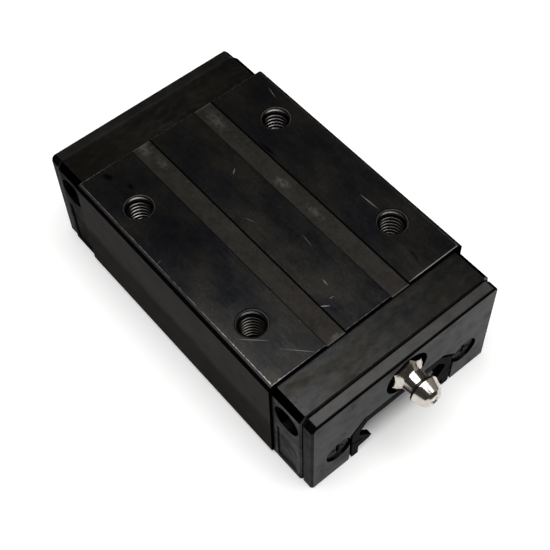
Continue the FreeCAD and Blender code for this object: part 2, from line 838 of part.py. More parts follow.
def make_balls(circuit):
    """Balls of one circuit, in four groups: loaded row, return row and the two turns."""
    for run, (across, up) in (("loaded", circuit.loaded), ("return", circuit.back)):
        places = [-half_length + ball_pitch * (index + 0.5) for index in range(balls_per_row)]
        ball_group(f"{circuit.name}_{run}_balls", [(x, across, up) for x in places])
    for end, forward in (("front", 1), ("rear", -1)):
        places = []
        for angle in TURN_ANGLES:
            x = forward * (half_length + turn_radius * sine(angle))
            places.append((x, *circuit.at(1.0 - cosine(angle))))
        ball_group(f"{circuit.name}_{end}_turn_balls", places)


def ball_group(label, places):
    """Balls that move together."""
    balls = []
    for index, (x, y, z) in enumerate(places, start=1):
        ball = part_feature("Sphere", f"{label}_{index}", Radius=ball_radius)
        place(ball, x, y, z)
        balls.append(ball)
    pieces.append(group("Compound", label, balls))


pieces = [make_carriage()]
front_cap = make_end_cap("front_end_cap")
front_seal = make_end_seal("front_end_seal")
pieces += [front_cap, mirror_image("rear_end_cap", front_cap, ALONG)]
pieces += [front_seal, mirror_image("rear_end_seal", front_seal, ALONG)]
for circuit in CIRCUITS:
    guide = make_return_guide(circuit)
    pieces += [guide, mirror_image(f"rear_{circuit.name}_return_guide", guide, ALONG)]
    make_balls(circuit)
for right_piece, left_label in (
    (make_retainer(), "left_ball_retainer"),
    (make_bottom_seal(), "left_bottom_seal"),
):
    pieces += [right_piece, mirror_image(left_label, right_piece, ACROSS)]
for side, sign in SIDES.items():
    screw = make_screw(f"front_{side}_cap_screw", sign * screw_across)
    pieces += [screw, mirror_image(f"rear_{side}_cap_screw", screw, ALONG)]
nipple, ball_seat, chamber_end = make_nipple()
check_ball, ball_back = make_check_ball(ball_seat)
pieces += [nipple, check_ball, make_spring(cap_face + chamber_end, ball_back), make_plug()]
doc.recompute()

faults = [item.Name for item in doc.Objects if {"Invalid", "Error"} & set(item.State)]
faults += [piece.Label for piece in pieces if piece.Shape.isNull() or not piece.Shape.isValid()]
faults += [piece.Label for piece in pieces if not piece.Shape.Solids]
if faults:
    raise RuntimeError(f"failed: {faults}")
os.makedirs("parts", exist_ok=True)
for piece in pieces:
    solids = piece.Shape.Solids
    shape = solids[0] if len(solids) == 1 else piece.Shape
    shape.exportStep(os.path.join("parts", f"{piece.Label}.step"))
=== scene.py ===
"""Looks of a linear guide block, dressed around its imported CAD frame.

The file is laid out as an add-on: properties hold what a user would change, one operator makes or finishes
each piece or group of like pieces, and main() calls them in order. Lengths are metres in the CAD frame: the
origin is the centre of the four tapped holes on the top face, +X points to the grease nipple and +Z is up.
"""
import json
import math

import bmesh
import bpy
from mathutils import Euler, Matrix, Vector


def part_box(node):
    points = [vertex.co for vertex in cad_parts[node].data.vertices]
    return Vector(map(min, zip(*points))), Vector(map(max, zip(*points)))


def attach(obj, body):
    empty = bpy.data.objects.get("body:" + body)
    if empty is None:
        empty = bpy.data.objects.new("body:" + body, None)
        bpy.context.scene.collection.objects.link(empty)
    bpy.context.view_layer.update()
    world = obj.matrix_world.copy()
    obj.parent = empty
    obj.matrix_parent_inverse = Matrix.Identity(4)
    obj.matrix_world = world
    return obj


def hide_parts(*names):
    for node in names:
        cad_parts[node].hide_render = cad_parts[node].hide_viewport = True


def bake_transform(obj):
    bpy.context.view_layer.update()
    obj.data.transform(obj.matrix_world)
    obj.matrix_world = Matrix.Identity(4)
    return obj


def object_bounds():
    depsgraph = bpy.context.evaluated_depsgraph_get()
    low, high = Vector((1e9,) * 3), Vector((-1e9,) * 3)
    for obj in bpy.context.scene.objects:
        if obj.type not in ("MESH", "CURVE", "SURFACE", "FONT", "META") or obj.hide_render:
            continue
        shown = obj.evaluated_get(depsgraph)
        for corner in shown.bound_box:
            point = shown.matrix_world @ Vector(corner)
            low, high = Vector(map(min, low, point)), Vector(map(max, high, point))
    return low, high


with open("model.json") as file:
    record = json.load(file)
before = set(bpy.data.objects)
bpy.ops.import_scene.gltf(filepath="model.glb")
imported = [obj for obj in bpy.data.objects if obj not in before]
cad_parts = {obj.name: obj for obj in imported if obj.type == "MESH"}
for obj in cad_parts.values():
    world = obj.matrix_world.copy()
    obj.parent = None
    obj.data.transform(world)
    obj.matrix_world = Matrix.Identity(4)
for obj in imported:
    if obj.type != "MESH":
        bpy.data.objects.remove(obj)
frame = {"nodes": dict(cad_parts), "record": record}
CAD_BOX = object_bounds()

bl_info = {
    "name": "Linear guide block looks",
    "version": (1, 0, 0),
    "blender": (4, 5, 0),
    "location": "View3D > Sidebar > Guide block",
    "description": "Materials, threads, nipple and studio for a linear guide block",
    "category": "Object",
}

BLOCK = "block"
MM = 0.001
WHITE = (1.0, 1.0, 1.0)
MOUNTS = {mount["name"]: mount for mount in frame["record"]["mounts"]}
BOLTS = MOUNTS["top_bolts"]["dims"]
_, STEEL_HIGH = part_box("carriage")
CAP_LOW, CAP_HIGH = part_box("front_end_cap")
SEAL_LOW, SEAL_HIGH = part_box("front_end_seal")
CHECK_LOW, CHECK_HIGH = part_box("nipple_check_ball")
SPRING_LOW, SPRING_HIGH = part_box("nipple_spring")

# Tapped holes, the rear left side towards which their painted highlights and painted shade lean, and the
# edges of the ground lands
BOLT_ALONG = BOLTS["spacing_x_mm"] * MM / 2
BOLT_ACROSS = BOLTS["spacing_y_mm"] * MM / 2
BOLT_HOLE = BOLTS["hole_r_mm"] * MM
BOLT_MOUTH = BOLT_HOLE + 0.3 * MM
PAINTED_LIGHT_SIDE = (-0.64, -0.77)
LAND_END = STEEL_HIGH.x - 0.25 * MM
LAND_SIDE = STEEL_HIGH.y - 1.05 * MM

# Marks on the top face: place along and across, length and width in millimetres, turn in degrees, strength
SCRATCHES = (
    (23.4, -5.0, 2.2, 0.28, 54, 0.8), (22.8, -2.8, 1.2, 0.2, 80, 0.4), (19.5, -1.5, 2.0, 0.2, -6, 0.45),
    (20.4, -19.5, 7.0, 0.3, 46, 0.22), (27.5, -14.6, 7.6, 0.2, 43, 0.3), (11.0, 17.4, 5.6, 0.22, 3, 0.5),
    (-12.2, 2.2, 1.9, 0.2, 130, 0.5), (-23.3, 21.4, 3.8, 0.18, -12, 0.3), (-4.4, -22.3, 1.6, 0.2, 108, 0.15),
    (10.1, 2.2, 4.0, 0.16, -5, 0.2), (-0.7, -3.0, 3.0, 0.16, 23, 0.2),
)
DARK_SPOTS = (
    (-27.6, -17.8, 3.6, 2.2, 20, 1.0), (-22.7, -15.7, 2.6, 1.2, 0, 0.9), (-12.2, 10.9, 6.0, 1.0, 3, 0.9),
    (26.0, 15.2, 5.0, 1.0, -10, 0.8), (-19.0, -17.0, 9.0, 2.4, 8, 0.6),
)
PALE_SPOTS = (
    (-3.9, 7.6, 5.0, 2.6, 10, 0.4), (-28.6, -7.7, 4.0, 3.4, 0, 0.35), (-25.0, 8.0, 8.0, 3.4, 0, 0.2),
    (-24.0, -7.4, 5.0, 2.4, 0, 0.2), (6.0, 7.9, 6.0, 2.0, 0, 0.22), (29.4, -7.6, 1.6, 4.0, 0, 0.35),
)
WORN_CORNERS = (
    (28.2, -21.2, 7.0, 4.0, 0, 0.8), (23.0, -22.6, 6.0, 1.6, 0, 0.5), (-29.0, 11.2, 3.0, 2.4, 0, 0.9),
)
DULL_AREAS = (
    (-10.0, -16.0, 54.0, 18.0, 0, 0.62), (28.0, 20.0, 30.0, 20.0, 0, 0.3),
)

# Grease ports in the sides of the end caps
PORT_ALONG = (CAP_LOW.x + CAP_HIGH.x) / 2
PORT_LEVEL = CAP_HIGH.z - 5.8 * MM
PORT_RADIUS = 3.3 * MM

# Screws that hold the caps and seals
SCREW_LOW, SCREW_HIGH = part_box("front_right_cap_screw")
SCREW_ACROSS = (SCREW_LOW.y + SCREW_HIGH.y) / 2
SCREW_LEVEL = (SCREW_LOW.z + SCREW_HIGH.z) / 2
SCREW_RECESS = 3.0 * MM

# Outline of the seal's rubber lip, which the slit in the CAD seal follows
LIP_HALF = 13.3 * MM
LIP_CROWN = -12.9 * MM
LIP_CROWN_HALF = 10.0 * MM
LIP_SLOPE = 0.88


def colour_property(name, description, colour):
    """Colour that a user would change."""
    return bpy.props.FloatVectorProperty(
        name=name, description=description, subtype="COLOR", size=3, min=0.0, max=1.0, default=colour,
    )


def length_property(name, description, length):
    """Length that a user would change."""
    return bpy.props.FloatProperty(
        name=name, description=description, unit="LENGTH", subtype="DISTANCE", min=0.0, precision=5,
        default=length,
    )


def share_property(name, description, share):
    """Share from none to all that a user would change."""
    return bpy.props.FloatProperty(
        name=name, description=description, subtype="FACTOR", min=0.0, max=1.0, default=share,
    )


class GuideBlockColours(bpy.types.PropertyGroup):
    """Colours of the finishes."""

    land: colour_property("Lands", "Ground lands on top of the steel", (0.0019, 0.0021, 0.0028))
    land_stain: colour_property("Land stains", "Brownish film on the lands", (0.0040, 0.0034, 0.0026))
    relief: colour_property("Relief strips", "Unground strips between the lands", (0.0098, 0.0087, 0.0072))
    side: colour_property("Steel sides", "Drawn sides of the steel", (0.0290, 0.0262, 0.0240))
    # Bare steel colour, also used for the painted highlights in the bores and on the first thread turns
    bare_steel_and_highlight: colour_property("Bare steel", "Steel where the black plate has worn off", (0.50, 0.49, 0.47))
    # Colour of the painted highlights on the thread crests
    thread: colour_property("Thread crests", "Crests of the threads, rubbed bright", (0.50, 0.46, 0.42))
    cap: colour_property("End caps", "Moulded end caps", (0.0028, 0.0028, 0.0028))
    cap_film: colour_property("Cap film", "Brownish film on the end caps", (0.0052, 0.0046, 0.0036))
    seal: colour_property("End seals", "End seals and bottom seals", (0.0200, 0.0198, 0.0200))
    seal_dust: colour_property("Seal dust", "Dust on the top of the end seals", (0.042, 0.040, 0.037))
    retainer: colour_property("Retainers", "Ball retainers and return guides", (0.06, 0.058, 0.055))
    nickel: colour_property("Nickel", "Bright plate of the grease nipple", (0.57, 0.53, 0.48))
    oxide: colour_property("Black oxide", "Screws and the port plug", (0.0105, 0.0085, 0.0068))
    ball: colour_property("Balls", "Polished balls", (0.74, 0.74, 0.75))
    floor: colour_property("Floor", "Studio floor", (0.82, 0.82, 0.82))


class GuideBlockSizes(bpy.types.PropertyGroup):
    """Sizes of the threads, how soft the edges are, and how far and how much the steel's edges are worn
    bright and painted as highlights.
    """

    thread_pitch: length_property("Thread pitch", "Pitch of the tapped holes", 1.0 * MM)
    thread_depth: length_property("Thread depth", "Depth of the threads under the top face", 9.15 * MM)
    thread_height: length_property("Thread height", "Height of a thread from root to crest", 0.56 * MM)
    edge_softness: length_property("Edge softness", "Radius that moulded edges shade with", 0.12 * MM)
    # The steel's bright edges are partly wear and partly painted highlight
    wear_and_highlight_reach: length_property("Wear reach", "How far wear comes in from an edge of the steel", 0.42 * MM)
    wear_and_highlight: share_property("Wear", "How much of the steel's edges is worn bright", 0.9)


class Nodes:
    """A node tree, with short ways to add what the finishes and the stage need."""

    def __init__(self, tree):
        self.nodes = tree.nodes
        self.links = tree.links

    def put(self, socket, value):
        """Link an output to a socket, or set the socket's own value."""
        if isinstance(value, bpy.types.NodeSocket):
            self.links.new(value, socket)
        elif hasattr(value, "__len__") and socket.type == "RGBA":
            socket.default_value = (*value, 1.0)
        else:
            socket.default_value = value

    def split(self, vector):
        """The three parts of a vector."""
        node = self.nodes.new("ShaderNodeSeparateXYZ")
        self.put(node.inputs[0], vector)
        return tuple(node.outputs)

    def calculate(self, operation, *values):
        """Result of a maths node."""
        node = self.nodes.new("ShaderNodeMath")
        node.operation = operation
        for socket, value in zip(node.inputs, values):
            self.put(socket, value)
        return node.outputs[0]

    def both(self, first, second):
        """Product of two values, or the share where two masks overlap."""
        return self.calculate("MULTIPLY", first, second)

    def either(self, first, second):
        """The larger of two values or masks."""
        return self.calculate("MAXIMUM", first, second)

    def least(self, first, second):
        """The smaller of two values."""
        return self.calculate("MINIMUM", first, second)

    def plus(self, first, second):
        """Sum of two values."""
        return self.calculate("ADD", first, second)

    def minus(self, first, second):
        """First value less the second."""
        return self.calculate("SUBTRACT", first, second)

    def without(self, mask):
        """The rest that a mask leaves."""
        return self.minus(1.0, mask)

    def magnitude(self, value):
        """Value without its sign."""
        return self.calculate("ABSOLUTE", value)

    def ramp(self, value, low, high, start=0.0, end=1.0):
        """Value from start to end as its input goes from low to high, held beyond them."""
        node = self.nodes.new("ShaderNodeMapRange")
        for name, amount in (
            ("Value", value), ("From Min", low), ("From Max", high), ("To Min", start), ("To Max", end),
        ):
            self.put(node.inputs[name], amount)
        return node.outputs["Result"]

    def dimmed(self, value, mask, share):
        """Value brought down to a share of itself where a mask is full."""
        return self.both(value, self.ramp(mask, 0.0, 1.0, 1.0, share))

    def blend(self, share, first, second):
        """Colour from first to second by a share."""
        node = self.nodes.new("ShaderNodeMix")
        node.data_type = "RGBA"
        self.put(node.inputs["Factor"], share)
        self.put(node.inputs[6], first)
        self.put(node.inputs[7], second)
        return node.outputs[2]


class Finish(Nodes):
    """A node material whose patterns lie on object coordinates."""

    def __init__(self, name, metallic=0.0):
        self.material = bpy.data.materials.new(name)
        self.material.use_nodes = True
        super().__init__(self.material.node_tree)
        self.shader = self.nodes["Principled BSDF"]
        self.shader.inputs["Metallic"].default_value = metallic
        coordinates = self.nodes.new("ShaderNodeTexCoord")
        self.place = coordinates.outputs["Object"]
        self.x, self.y, self.z = self.split(self.place)
        self.facing = self.split(coordinates.outputs["Normal"])

    def grain(self, size, detail=4.0, stretch=(1.0, 1.0, 1.0), turn=0.0, rough=0.55, shift=0.0):
        """Noise whose features have that size, longer along an axis by its stretch."""
        mapping = self.nodes.new("ShaderNodeMapping")
        self.put(mapping.inputs["Vector"], self.place)
        mapping.inputs["Location"].default_value = (shift, shift, shift)
        mapping.inputs["Rotation"].default_value = (0.0, 0.0, turn)
        mapping.inputs["Scale"].default_value = tuple(1.0 / (size * amount) for amount in stretch)
        noise = self.nodes.new("ShaderNodeTexNoise")
        self.put(noise.inputs["Vector"], mapping.outputs["Vector"])
        noise.inputs["Scale"].default_value = 1.0
        noise.inputs["Detail"].default_value = detail
        noise.inputs["Roughness"].default_value = rough
        return noise.outputs["Fac"]

    def slope(self):
        """Mask of bevels that lean back from the top."""
        up = self.facing[2]
        return self.both(self.ramp(up, 0.4, 0.6), self.ramp(up, 0.93, 0.91))

    def away_from(self, first, second):
        """Distance from the offsets along two axes."""
        return self.calculate("SQRT", self.plus(self.both(first, first), self.both(second, second)))

    def hole_offset(self, place, spacing):
        """Offset along one axis from the nearest tapped hole."""
        return self.minus(place, self.both(self.calculate("SIGN", place), spacing))

    def from_hole(self):
        """Distance from the axis of the nearest tapped hole."""
        return self.away_from(self.hole_offset(self.x, BOLT_ALONG), self.hole_offset(self.y, BOLT_ACROSS))

    def painted_light_lean(self):
        """Offset from the nearest tapped hole towards the rear left side of its painted highlights and
        shade, in radii of the hole.
        """
        along, across = (part / BOLT_HOLE for part in PAINTED_LIGHT_SIDE)
        return self.plus(
            self.both(self.hole_offset(self.x, BOLT_ALONG), along),
            self.both(self.hole_offset(self.y, BOLT_ACROSS), across),
        )

    def spots(self, marks):
        """Mask of elongated spots on the top face that fade from their middle."""
        total = 0.0
        for x, y, length, width, turn, strength in marks:
            mapping = self.nodes.new("ShaderNodeMapping")
            mapping.vector_type = "TEXTURE"
            self.put(mapping.inputs["Vector"], self.place)
            mapping.inputs["Location"].default_value = (x * MM, y * MM, 0.0)
            mapping.inputs["Rotation"].default_value = (0.0, 0.0, math.radians(turn))
            mapping.inputs["Scale"].default_value = (length * MM / 2, width * MM / 2, 1.0)
            fade = self.nodes.new("ShaderNodeTexGradient")
            fade.gradient_type = "SPHERICAL"
            self.put(fade.inputs["Vector"], mapping.outputs["Vector"])
            total = self.either(total, self.both(fade.outputs["Fac"], strength))
        return total

    def openness(self, reach, inside):
        """Share of free room above the surface within reach, or of the piece's own room under it."""
        node = self.nodes.new("ShaderNodeAmbientOcclusion")
        node.inside = inside
        node.only_local = inside
        node.samples = 6
        node.inputs["Distance"].default_value = reach
        return node.outputs["AO"]

    def outer_edges(self, reach):
        """Mask of sharp outer edges, fading within reach."""
        return self.ramp(self.openness(reach, True), 0.93, 0.6)

    def crevices(self, reach):
        """Mask of inner corners and narrow gaps, fading within reach."""
        return self.ramp(self.openness(reach, False), 0.8, 0.5)

    def soft_edges(self, radius):
        """Normal that rounds edges by a radius."""
        node = self.nodes.new("ShaderNodeBevel")
        node.samples = 4
        node.inputs["Radius"].default_value = radius
        return node.outputs["Normal"]

    def bump(self, height, distance, strength, normal=None):
        """Normal of a height pattern."""
        node = self.nodes.new("ShaderNodeBump")
        node.inputs["Strength"].default_value = strength
        node.inputs["Distance"].default_value = distance
        self.put(node.inputs["Height"], height)
        if normal is not None:
            self.put(node.inputs["Normal"], normal)
        return node.outputs["Normal"]

    def set(self, colour, roughness, metallic=None, normal=None, gloss=None, sheen=None):
        """Feed the shader and return the material."""
        for name, value in (
            ("Base Color", colour), ("Roughness", roughness), ("Metallic", metallic), ("Normal", normal),
            ("Specular IOR Level", gloss), ("Specular Tint", sheen),
        ):
            if value is not None:
                self.put(self.shader.inputs[name], value)
        return self.material


def shade(colour, factor):
    """Colour made darker or lighter."""
    return tuple(min(1.0, part * factor) for part in colour)


def carriage_steel(colours, sizes):
    """Black plated steel: ground lands, dull relief strips and sides, painted shade in bevels, bores and end
    faces, painted highlights on hole mouths and bore tops, and edges worn bright and partly painted as
    highlights.
    """
    finish = Finish("carriage_steel")
    cloud = finish.grain(9 * MM, detail=6.0, stretch=(1.5, 1.0, 1.0), rough=0.6)
    stain = finish.grain(2.6 * MM, detail=4.0, stretch=(1.5, 1.0, 1.0), shift=4.0)
    lay = finish.grain(0.3 * MM, detail=3.0, stretch=(60.0, 1.0, 1.0))
    speck = finish.grain(0.45 * MM, detail=3.0, rough=0.7, shift=9.0)
    mottle = finish.grain(0.8 * MM, detail=5.0, rough=0.65, shift=6.0)
    fray = finish.grain(0.9 * MM, detail=5.0, shift=2.0)

    # Kinds of surface
    top = finish.ramp(finish.facing[2], 0.92, 0.98)
    strip = finish.both(top, finish.ramp(finish.z, -0.15 * MM, -0.25 * MM))
    side = finish.ramp(finish.magnitude(finish.facing[1]), 0.9, 0.98)
    low = finish.both(side, finish.ramp(finish.z, -12.0 * MM, -15.0 * MM))
    unground = finish.either(strip, side)
    end = finish.ramp(finish.magnitude(finish.facing[0]), 0.7, 0.9)
    away = finish.from_hole()
    bore = finish.ramp(away, BOLT_HOLE + 0.06 * MM, BOLT_HOLE + 0.02 * MM)
    lead = finish.both(bore, finish.ramp(finish.z, -0.6 * MM, -0.45 * MM))
    mouth = finish.ramp(away, BOLT_MOUTH + 0.03 * MM, BOLT_MOUTH - 0.02 * MM)
    outer_ring = finish.both(mouth, finish.ramp(away, BOLT_MOUTH - 0.2 * MM, BOLT_MOUTH - 0.12 * MM))
    flat = finish.both(top, finish.without(mouth))
    # Painted shade: bevels that lean back, bore walls, end faces and a thin outline round each hole mouth
    # are painted near black
    black = finish.either(finish.both(finish.slope(), finish.without(mouth)), bore)
    black = finish.either(finish.either(black, end), outer_ring)

    # Plate and film, with painted shade and painted highlights in and round the tapped holes
    land = finish.blend(finish.ramp(cloud, 0.42, 0.58), colours.land, colours.land_stain)
    land = finish.blend(finish.ramp(stain, 0.34, 0.5, 0.7, 0.0), land, shade(colours.land, 0.35))
    land = finish.blend(finish.ramp(stain, 0.55, 0.75, 0.0, 0.25), land, shade(colours.land_stain, 1.3))
    land = finish.blend(finish.ramp(mottle, 0.52, 0.75, 0.0, 0.25), land, shade(colours.land, 2.2))
    cloudy = finish.ramp(stain, 0.35, 0.65)
    dull = finish.blend(cloudy, shade(colours.relief, 0.6), shade(colours.relief, 1.2))
    dull = finish.blend(finish.ramp(mottle, 0.4, 0.65, 0.0, 0.5), dull, shade(colours.relief, 1.9))
    dull = finish.blend(finish.ramp(speck, 0.56, 0.72, 0.0, 0.7), dull, shade(colours.relief, 3.0))
    drawn = finish.blend(finish.ramp(cloud, 0.4, 0.6), shade(colours.side, 0.75), shade(colours.side, 1.2))
    drawn = finish.blend(finish.ramp(speck, 0.58, 0.75, 0.0, 0.4), drawn, shade(colours.side, 2.0))
    # Lower part of the steel sides darker, below about 12 mm under the top
    drawn = finish.blend(low, drawn, shade(colours.side, 0.6))
    # Painted highlight on the mouth chamfers, painted darker towards the rear left as shade
    pale = finish.blend(stain, colours.side, shade(colours.side, 4.5))
    pale = finish.blend(finish.ramp(finish.painted_light_lean(), 0.0, 0.8, 0.0, 0.6), pale, colours.land)
    colour = finish.blend(strip, land, dull)
    colour = finish.blend(side, colour, drawn)
    colour = finish.blend(mouth, colour, pale)
    # Painted shade over the bevels, bores, end faces and mouth outlines
    colour = finish.blend(black, colour, shade(colours.land, 0.7))
    # Painted highlight: a pale band at the top of each bore wall
    colour = finish.blend(finish.both(lead, 0.6), colour, shade(colours.bare_steel_and_highlight, 0.2))

    # Soot and pale deposits
    soot = finish.both(finish.spots(DARK_SPOTS), flat)
    soot = finish.least(finish.both(soot, finish.ramp(mottle, 0.35, 0.55, 0.4, 1.6)), 1.0)
    colour = finish.blend(soot, colour, shade(colours.land, 0.2))
    deposit = finish.both(finish.spots(PALE_SPOTS), flat)
    deposit = finish.both(deposit, finish.ramp(mottle, 0.42, 0.62, 0.1, 1.3))
    colour = finish.blend(deposit, colour, shade(colours.bare_steel_and_highlight, 0.3))

    # Edges worn bright and partly painted as highlights where they catch the light, most at the front left
    # corner and along the front of the right land, with scratches and pits worn bright
    corner = finish.both(
        finish.ramp(finish.x, 10.0 * MM, LAND_END, 0.4, 1.0),
        finish.ramp(finish.y, -LAND_SIDE, -14.0 * MM, 1.0, 0.35),
    )
    reach = finish.both(finish.ramp(fray, 0.35, 0.7, 0.06, 1.0), finish.both(corner, sizes.wear_and_highlight_reach))
    rim = finish.least(
        finish.minus(LAND_END, finish.magnitude(finish.x)),
        finish.minus(LAND_SIDE, finish.magnitude(finish.y)),
    )
    edges = finish.both(finish.ramp(rim, reach, 0.0), finish.ramp(corner, 0.1, 0.8, 0.35, 1.0))
    right = finish.both(
        finish.ramp(finish.y, LAND_SIDE - 1.2 * MM, LAND_SIDE - 0.8 * MM),
        finish.ramp(finish.x, LAND_END - 0.8 * MM, LAND_END - 1.2 * MM),
    )
    front = finish.both(
        finish.ramp(finish.x, LAND_END - 0.22 * MM, LAND_END - 0.1 * MM),
        finish.ramp(finish.y, 10.0 * MM, 13.0 * MM, 0.0, 0.75),
    )
    edges = finish.either(finish.dimmed(edges, right, 0.3), front)
    scratch = finish.both(finish.spots(SCRATCHES), 1.4)
    pits = finish.both(finish.spots(WORN_CORNERS), finish.ramp(speck, 0.66, 0.72))
    worn = finish.both(finish.either(edges, finish.either(scratch, pits)), flat)
    worn = finish.dimmed(worn, strip, 0.15)
    worn = finish.least(finish.both(worn, sizes.wear_and_highlight), 1.0)
    # Wear, and painted highlight along the edges, in bare steel
    colour = finish.blend(worn, colour, colours.bare_steel_and_highlight)

    # Roughness, relief and gloss
    rough = finish.ramp(cloud, 0.35, 0.65, 0.19, 0.29)
    rough = finish.plus(rough, finish.ramp(lay, 0.3, 0.7, -0.02, 0.02))
    rough = finish.plus(rough, finish.ramp(stain, 0.3, 0.7, 0.04, -0.03))
    rough = finish.plus(rough, finish.ramp(mottle, 0.3, 0.7, -0.015, 0.02))
    rough = finish.plus(rough, finish.both(unground, 0.3))
    height = finish.plus(finish.both(lay, 0.2), finish.both(speck, unground))
    normal = finish.bump(height, 0.02 * MM, 0.4)
    gloss = finish.ramp(stain, 0.3, 0.7, 0.44, 0.56)
    gloss = finish.plus(gloss, finish.ramp(mottle, 0.3, 0.7, -0.05, 0.05))
    gloss = finish.both(gloss, finish.without(finish.spots(DULL_AREAS)))
    gloss = finish.both(gloss, finish.ramp(finish.x, -LAND_END, 5.0 * MM, 0.75, 1.0))
    gloss = finish.dimmed(gloss, strip, 0.35)
    gloss = finish.both(gloss, finish.without(finish.both(soot, 0.85)))
    gloss = finish.dimmed(gloss, side, 0.02)
    gloss = finish.dimmed(gloss, low, 0.4)
    gloss = finish.both(gloss, finish.without(black))
    sheen = finish.blend(finish.ramp(cloud, 0.4, 0.6), (0.9, 0.94, 1.0), (1.0, 0.95, 0.87))
    sheen = finish.blend(unground, sheen, (1.0, 0.94, 0.86))
    return finish.set(colour, rough, finish.both(worn, 0.8), normal, gloss, sheen)


def moulded_cap(colours, sizes):
    """Satin black plastic with a cloudy film, scuffs, slightly paler edges that are partly scuffs and partly
    painted highlight, upright faces painted lighter as fill light, and painted shade in bevels, ports and
    gaps.
    """
    finish = Finish("moulded_cap")
    cloud = finish.grain(4 * MM, detail=6.0, stretch=(1.0, 3.0, 1.0), turn=0.25, rough=0.6)
    scuff = finish.grain(0.4 * MM, detail=3.0, stretch=(1.0, 25.0, 1.0), turn=0.12)
    pebble = finish.grain(0.22 * MM, detail=2.0)
    speck = finish.grain(0.5 * MM, detail=4.0, rough=0.7, shift=5.0)
    mottle = finish.grain(1.2 * MM, detail=5.0, stretch=(1.0, 2.0, 1.0), rough=0.6, shift=7.0)

    # Kinds of surface, with painted shade in bevels, ports and gaps
    upright = finish.ramp(finish.facing[2], 0.4, 0.2)
    rear = finish.ramp(finish.x, MM, -MM)
    along = finish.magnitude(finish.x)
    seam = finish.both(
        finish.ramp(along, CAP_HIGH.x - 0.45 * MM, CAP_HIGH.x - 0.4 * MM),
        finish.ramp(finish.magnitude(finish.facing[1]), 0.3, 0.2),
    )
    bevel = finish.both(finish.slope(), finish.without(seam))
    from_port = finish.away_from(finish.minus(finish.z, PORT_LEVEL), finish.minus(along, PORT_ALONG))
    port = finish.ramp(from_port, PORT_RADIUS + 0.05 * MM, PORT_RADIUS - 0.05 * MM)
    gap = finish.both(upright, finish.crevices(0.8 * MM))
    black = finish.either(bevel, finish.either(port, gap))

    colour = finish.blend(finish.ramp(cloud, 0.4, 0.6), colours.cap, colours.cap_film)
    # Painted light: upright faces painted lighter than the top, standing in for fill light
    colour = finish.blend(upright, colour, shade(colours.cap, 5.0))
    colour = finish.blend(finish.ramp(mottle, 0.5, 0.7, 0.0, 0.6), colour, shade(colours.cap_film, 2.0))
    colour = finish.blend(finish.ramp(speck, 0.6, 0.75, 0.0, 0.5), colour, shade(colours.cap_film, 3.0))
    colour = finish.blend(finish.ramp(scuff, 0.62, 0.75, 0.0, 0.35), colour, shade(colours.cap, 3.0))
    # Paler edges, partly scuffs and partly painted highlight along the edges
    edge = finish.both(finish.outer_edges(0.25 * MM), finish.ramp(speck, 0.4, 0.6, 0.1, 0.6))
    colour = finish.blend(edge, colour, shade(colours.cap, 6.0))
    # Painted shade, near black, in bevels, port bores and gaps
    colour = finish.blend(black, colour, shade(colours.cap, 0.1))
    rough = finish.plus(finish.ramp(cloud, 0.35, 0.65, 0.2, 0.4), finish.both(upright, 0.2))
    normal = finish.bump(pebble, 0.02 * MM, 0.3, finish.soft_edges(sizes.edge_softness))
    gloss = finish.ramp(cloud, 0.38, 0.62, 0.7, 0.3)
    gloss = finish.plus(gloss, finish.ramp(mottle, 0.35, 0.65, -0.1, 0.1))
    rubbed = finish.both(rear, finish.ramp(finish.y, 0.0, -18.0 * MM, 0.4, 0.92))
    gloss = finish.both(gloss, finish.without(rubbed))
    gloss = finish.both(gloss, finish.ramp(finish.y, -6.0 * MM, 20.0 * MM, 1.0, 0.5))
    gloss = finish.dimmed(gloss, upright, 0.1)
    gloss = finish.both(gloss, finish.without(black))
    sheen = finish.blend(finish.ramp(cloud, 0.4, 0.6), (0.92, 0.96, 1.0), (1.0, 0.95, 0.87))
    sheen = finish.blend(rear, sheen, (1.0, 0.95, 0.84))
    return finish.set(colour, rough, None, normal, gloss, sheen)


